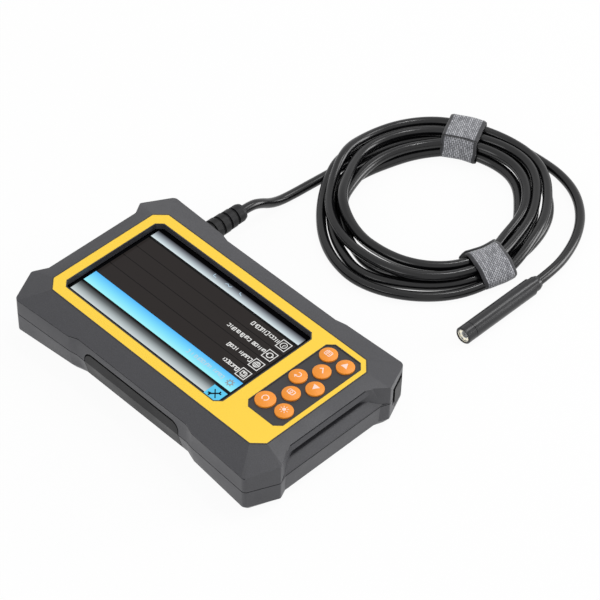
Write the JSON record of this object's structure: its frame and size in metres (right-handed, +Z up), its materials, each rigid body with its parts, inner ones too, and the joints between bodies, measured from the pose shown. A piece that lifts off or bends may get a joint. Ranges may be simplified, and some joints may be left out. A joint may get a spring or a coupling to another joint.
{
  "type": "inspection camera",
  "caption": "Handheld inspection camera: rugged case with a screen and keypad, port covers, and a slim lit camera head on a long coiled cable held by straps.",
  "frame": {"origin": "middle of the case's footprint, on the surface that it lies on", "axes": "+X along the case towards the keys, +Y towards the side the cable leaves, +Z up out of the screen"},
  "size_m": [0.1506, 0.2416, 0.0253],
  "materials": {
    "case_charcoal": "fine grained charcoal plastic",
    "overlay_yellow": "smooth yellow overlay",
    "key_plate_grey": "dark matt plastic",
    "key_orange": "satin orange silicone",
    "silicone_grey": "soft silicone",
    "board_green": "green solder mask",
    "glass_dark": "polished display glass",
    "backlight_white": "white diffuser in a thin tray",
    "foam_black": "black foam",
    "steel_plain": "plain steel",
    "steel_black": "blackened steel",
    "chip_black": "moulded chip packages",
    "rubber_black": "matt black rubber",
    "card_blue": "smooth plastic",
    "battery_wrap": "shrink wrapped pack",
    "connector_white": "natural nylon",
    "cable_black": "smooth black jacket",
    "strap_grey": "woven grey strap",
    "head_anodised": "gloss black anodised",
    "window_clear": "clear polished window",
    "led_cream": "cream encapsulant",
    "lens_black": "black barrel",
    "sensor_grey": "sensor package"
  },
  "bodies": {
    "case": {"upper_shell": "case_charcoal", "lower_shell": "case_charcoal", "front_overlay": "overlay_yellow", "key_plate": "key_plate_grey", "keypad_mat": "silicone_grey", "key_board": "board_green", "display_gasket": "foam_black", "display_glass": "glass_dark", "display_backlight": "backlight_white", "display_pads": "foam_black", "main_board": "board_green", "processor_shield": "steel_plain", "board_chips": "chip_black", "usb_socket": "steel_plain", "card_socket": "steel_plain", "memory_card": "card_blue", "video_socket": "steel_plain", "board_screws": "steel_plain", "battery_pad": "foam_black", "battery_pack": "battery_wrap", "case_screws": "steel_black", "case_seal": "rubber_black", "charging_socket": "chip_black", "strain_relief": "rubber_black", "cable_clamp": "chip_black", "clamp_screws": "steel_plain", "inner_cable": "cable_black", "camera_connector": "connector_white", "cable_lead": "cable_black", "cable_tail": "cable_black", "cable_coil": "cable_black", "cable_strap_far": "strap_grey", "cable_strap_near": "strap_grey", "camera_housing": "head_anodised", "camera_front_ring": "head_anodised", "camera_rear_collar": "head_anodised", "lens_window": "window_clear", "led_board": "connector_white", "camera_leds": "led_cream", "lens_barrel": "lens_black", "image_sensor": "sensor_grey", "head_cable": "cable_black"},
    "key_power": {"key_power": "key_orange"},
    "key_light": {"key_light": "key_orange"},
    "key_photo": {"key_photo": "key_orange"},
    "key_back": {"key_back": "key_orange"},
    "key_up": {"key_up": "key_orange"},
    "key_ok": {"key_ok": "key_orange"},
    "key_menu": {"key_menu": "key_orange"},
    "key_down": {"key_down": "key_orange"},
    "side_cover": {"side_port_cover": "rubber_black"},
    "corner_cover": {"corner_port_cover": "rubber_black"}
  },
  "joints": [
    {"name": "key_power_press", "type": "slide", "parent": "case", "child": "key_power", "axis": [0, 0, -1], "range_m": [0, 0.0008], "stiffness_N_per_m": 800},
    {"name": "key_light_press", "type": "slide", "parent": "case", "child": "key_light", "axis": [0, 0, -1], "range_m": [0, 0.0008], "stiffness_N_per_m": 800},
    {"name": "key_photo_press", "type": "slide", "parent": "case", "child": "key_photo", "axis": [0, 0, -1], "range_m": [0, 0.0008], "stiffness_N_per_m": 800},
    {"name": "key_back_press", "type": "slide", "parent": "case", "child": "key_back", "axis": [0, 0, -1], "range_m": [0, 0.0008], "stiffness_N_per_m": 800},
    {"name": "key_up_press", "type": "slide", "parent": "case", "child": "key_up", "axis": [0, 0, -1], "range_m": [0, 0.0008], "stiffness_N_per_m": 800},
    {"name": "key_ok_press", "type": "slide", "parent": "case", "child": "key_ok", "axis": [0, 0, -1], "range_m": [0, 0.0008], "stiffness_N_per_m": 800},
    {"name": "key_menu_press", "type": "slide", "parent": "case", "child": "key_menu", "axis": [0, 0, -1], "range_m": [0, 0.0008], "stiffness_N_per_m": 800},
    {"name": "key_down_press", "type": "slide", "parent": "case", "child": "key_down", "axis": [0, 0, -1], "range_m": [0, 0.0008], "stiffness_N_per_m": 800},
    {"name": "side_cover_flex", "type": "hinge", "parent": "case", "child": "side_cover", "pos_m": [0, -0.04075, 0.00245], "axis": [1, 0, 0], "range_deg": [0, 80], "stiffness_Nm_per_rad": 0.004},
    {"name": "corner_cover_flex", "type": "hinge", "parent": "case", "child": "corner_cover", "pos_m": [0.06974, 0.04356, 0.0095], "axis": [0, 0, 1], "range_deg": [0, 100], "stiffness_Nm_per_rad": 0.002}
  ]
}
